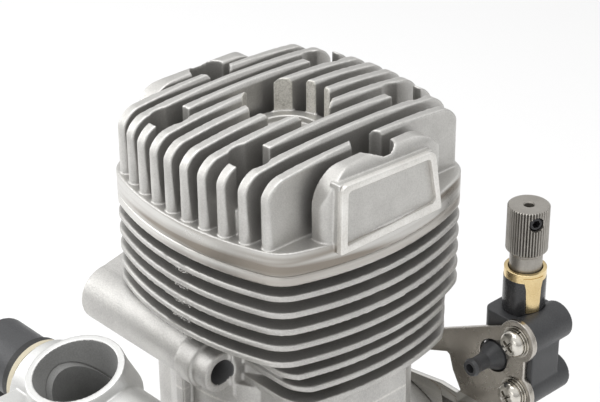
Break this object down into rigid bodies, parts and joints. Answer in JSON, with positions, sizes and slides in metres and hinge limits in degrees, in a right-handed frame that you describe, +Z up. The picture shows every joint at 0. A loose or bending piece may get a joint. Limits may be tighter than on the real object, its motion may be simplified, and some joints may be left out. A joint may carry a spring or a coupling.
{
  "type": "model aircraft engine",
  "caption": "Two-stroke glow engine for a model aircraft: finned head and barrel, side exhaust, tilted carburettor, remote needle valve, working crankshaft, piston and throttle.",
  "frame": {"origin": "crank axis at the drive washer's front face", "axes": "-Y towards the propeller, +Z up along the cylinder, -X towards the exhaust"},
  "size_m": [0.074, 0.1485, 0.1229],
  "materials": {
    "cast_aluminium": "bead-blasted casting",
    "machined_aluminium": "turned, satin",
    "nickel_steel": "bright nickel plate",
    "ground_steel": "ground",
    "dark_steel": "knurled, warm grey",
    "black_steel": "blackened, semi-gloss",
    "brass": "turned",
    "copper_shim": "rolled",
    "gasket_paper": "pressed fibre",
    "grey_plastic": "moulded, satin",
    "black_rubber": "moulded"
  },
  "bodies": {
    "engine": {"crankcase": "cast_aluminium", "cylinder_liner": "nickel_steel", "cylinder_head": "cast_aluminium", "head_gasket": "copper_shim", "head_screws": "black_steel", "rear_bearing_outer": "ground_steel", "front_bearing_outer": "ground_steel", "rear_cover": "cast_aluminium", "rear_cover_gasket": "gasket_paper", "rear_cover_screws": "black_steel", "carburettor_body": "machined_aluminium", "carburettor_seal": "black_rubber", "carburettor_screws": "black_steel", "throttle_stop_spring": "ground_steel", "carburettor_nipple": "black_steel", "needle_bracket": "nickel_steel", "bracket_screws": "nickel_steel", "bracket_washers": "nickel_steel", "needle_holder": "grey_plastic", "holder_nipple": "black_steel", "needle_sleeve": "black_steel", "needle_ratchet": "brass"},
    "shaft": {"crankshaft": "ground_steel", "rear_bearing_inner": "ground_steel", "front_bearing_inner": "ground_steel", "drive_washer": "machined_aluminium", "drive_collet": "brass", "prop_washer": "nickel_steel", "prop_nut": "machined_aluminium"},
    "rear_ball_set": {"rear_bearing_balls": "ground_steel", "rear_bearing_cage": "brass"},
    "front_ball_set": {"front_bearing_balls": "ground_steel", "front_bearing_cage": "brass"},
    "piston_group": {"piston": "machined_aluminium", "piston_ring": "ground_steel", "wrist_pin": "ground_steel", "wrist_pin_clips": "ground_steel", "connecting_rod": "machined_aluminium", "small_end_bush": "brass", "big_end_bush": "brass", "crank_pin": "ground_steel"},
    "throttle": {"throttle_rotor": "ground_steel", "rotor_disc": "brass", "rotor_boot": "black_rubber", "throttle_lever": "grey_plastic", "lever_screw": "nickel_steel"},
    "stop_screw": {"throttle_stop_screw": "nickel_steel"},
    "idle_screw": {"idle_mixture_screw": "brass"},
    "needle": {"needle_valve": "dark_steel", "needle_set_screw": "black_steel"}
  },
  "joints": [
    {"name": "crankshaft_turn", "type": "hinge", "parent": "engine", "child": "shaft", "pos_m": [0, 0, 0], "axis": [0, 1, 0], "continuous": true},
    {"name": "rear_balls_turn", "type": "hinge", "parent": "engine", "child": "rear_ball_set", "pos_m": [0, 0.0592, 0], "axis": [0, 1, 0], "continuous": true},
    {"name": "front_balls_turn", "type": "hinge", "parent": "engine", "child": "front_ball_set", "pos_m": [0, 0.0125, 0], "axis": [0, 1, 0], "continuous": true},
    {"name": "piston_travel", "type": "slide", "parent": "engine", "child": "piston_group", "axis": [0, 0, 1], "range_m": [-0.0296, 0]},
    {"name": "throttle_turn", "type": "hinge", "parent": "engine", "child": "throttle", "pos_m": [0, 0.03097, 0.051], "axis": [1, 0, 0], "range_deg": [0, 75]},
    {"name": "stop_screw_turn", "type": "hinge", "parent": "engine", "child": "stop_screw", "pos_m": [-0.008, 0.01597, 0.051], "axis": [0, 1, 0], "range_deg": [-540, 540]},
    {"name": "idle_screw_turn", "type": "hinge", "parent": "throttle", "child": "idle_screw", "pos_m": [0.021, 0.03097, 0.051], "axis": [1, 0, 0], "range_deg": [-540, 540]},
    {"name": "needle_turn", "type": "hinge", "parent": "engine", "child": "needle", "pos_m": [0.0288, 0.1162, 0.06], "axis": [0, 0, 1], "range_deg": [-540, 540]}
  ],
  "couplings": [
    {"joint": "rear_balls_turn", "follows": "crankshaft_turn", "ratio": 0.40769},
    {"joint": "front_balls_turn", "follows": "crankshaft_turn", "ratio": 0.4}
  ]
}
